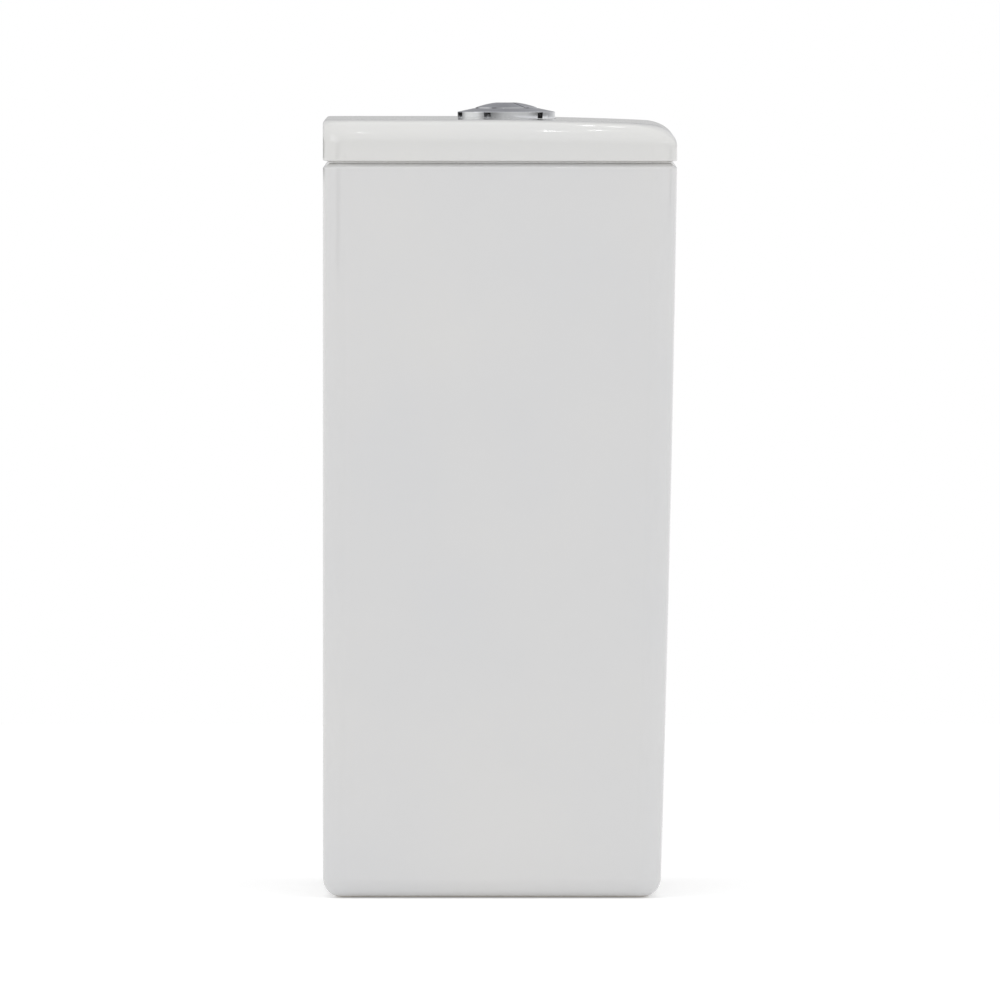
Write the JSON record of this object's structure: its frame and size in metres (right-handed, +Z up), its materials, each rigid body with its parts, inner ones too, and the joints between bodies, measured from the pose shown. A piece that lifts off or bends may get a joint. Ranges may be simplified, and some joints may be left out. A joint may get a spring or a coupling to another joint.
{
  "type": "toilet cistern",
  "caption": "Close-coupled white china toilet cistern with a lift-off lid, chrome dual-flush push button, flush valve, fill valve and pan fixings.",
  "frame": {"origin": "middle of the foot's underside, where the cistern stands on the pan", "axes": "+Z up, +Y towards the wall, -Y towards the user, +X to the user's right"},
  "size_m": [0.37, 0.17, 0.3802],
  "materials": {
    "china": "smooth white glaze",
    "chrome": "bright plated",
    "white_plastic": "moulded satin",
    "grey_plastic": "moulded satin",
    "blue_plastic": "moulded satin",
    "rubber": "soft moulded",
    "steel": "zinc bright",
    "brass": "turned"
  },
  "bodies": {
    "cistern": {"cistern_body": "china", "outlet_base": "white_plastic", "base_gasket": "rubber", "outlet_back_nut": "white_plastic", "coupling_gasket": "rubber", "flush_tower": "grey_plastic", "lever_bridge": "grey_plastic", "lever_pins": "steel", "coupling_bolts": "steel", "bolt_cone_seals": "rubber", "bolt_washers": "steel", "wing_nuts": "brass", "fill_shank": "white_plastic", "inlet_seal": "rubber", "inlet_back_nut": "white_plastic", "inlet_strainer": "white_plastic", "fill_riser": "white_plastic", "riser_lock_ring": "grey_plastic", "fill_valve_head": "white_plastic", "fill_head_cap": "grey_plastic", "valve_diaphragm": "rubber", "arm_pin": "steel"},
    "lid": {"cistern_lid": "china", "button_ring": "chrome", "ring_gasket": "rubber", "ring_clamp_nut": "white_plastic", "full_button_spring": "steel", "half_button_spring": "steel"},
    "full_button": {"full_flush_button": "chrome", "full_push_rod": "white_plastic"},
    "half_button": {"half_flush_button": "chrome", "half_push_rod": "blue_plastic"},
    "full_lever": {"full_flush_lever": "white_plastic"},
    "half_lever": {"half_flush_lever": "blue_plastic"},
    "valve_stem": {"overflow_tube": "white_plastic", "seal_carrier": "grey_plastic", "flush_seal": "rubber", "full_lift_rod": "white_plastic"},
    "half_riser": {"half_lift_rod": "blue_plastic", "half_flush_float": "blue_plastic"},
    "water_float": {"fill_float": "blue_plastic", "float_link_rod": "white_plastic"},
    "shut_off_arm": {"float_arm": "grey_plastic"}
  },
  "joints": [
    {"name": "lid_lift", "type": "slide", "parent": "cistern", "child": "lid", "axis": [0, 0, 1], "range_m": [0, 0.15]},
    {"name": "full_press", "type": "slide", "parent": "lid", "child": "full_button", "axis": [0, 0, -1], "range_m": [0, 0.009], "stiffness_N_per_m": 500, "springref_m": -0.006, "deforming": ["full_button_spring"]},
    {"name": "half_press", "type": "slide", "parent": "lid", "child": "half_button", "axis": [0, 0, -1], "range_m": [0, 0.009], "stiffness_N_per_m": 500, "springref_m": -0.006, "deforming": ["half_button_spring"]},
    {"name": "full_lever_tip", "type": "hinge", "parent": "cistern", "child": "full_lever", "pos_m": [0.022, 0.004, 0.301], "axis": [0, -1, 0], "range_deg": [0, 24.17]},
    {"name": "half_lever_tip", "type": "hinge", "parent": "cistern", "child": "half_lever", "pos_m": [-0.022, -0.012, 0.301], "axis": [0, 1, 0], "range_deg": [0, 24.17]},
    {"name": "valve_lift", "type": "slide", "parent": "cistern", "child": "valve_stem", "axis": [0, 0, 1], "range_m": [0, 0.01519]},
    {"name": "half_float_lift", "type": "slide", "parent": "cistern", "child": "half_riser", "axis": [0, 0, 1], "range_m": [0, 0.01519]},
    {"name": "float_rise", "type": "slide", "parent": "cistern", "child": "water_float", "axis": [0, 0, 1], "range_m": [0, 0.012]},
    {"name": "arm_tip", "type": "hinge", "parent": "cistern", "child": "shut_off_arm", "pos_m": [-0.143, -0.003, 0.309], "axis": [0, -1, 0], "range_deg": [0, 20.97]}
  ],
  "couplings": [
    {"joint": "full_lever_tip", "follows": "full_press", "rad_per_m": 46.829},
    {"joint": "valve_lift", "follows": "full_press", "ratio": 1.6858},
    {"joint": "half_lever_tip", "follows": "half_press", "rad_per_m": 46.829},
    {"joint": "half_float_lift", "follows": "half_press", "ratio": 1.6858},
    {"joint": "arm_tip", "follows": "float_rise", "rad_per_m": 30.473}
  ]
}
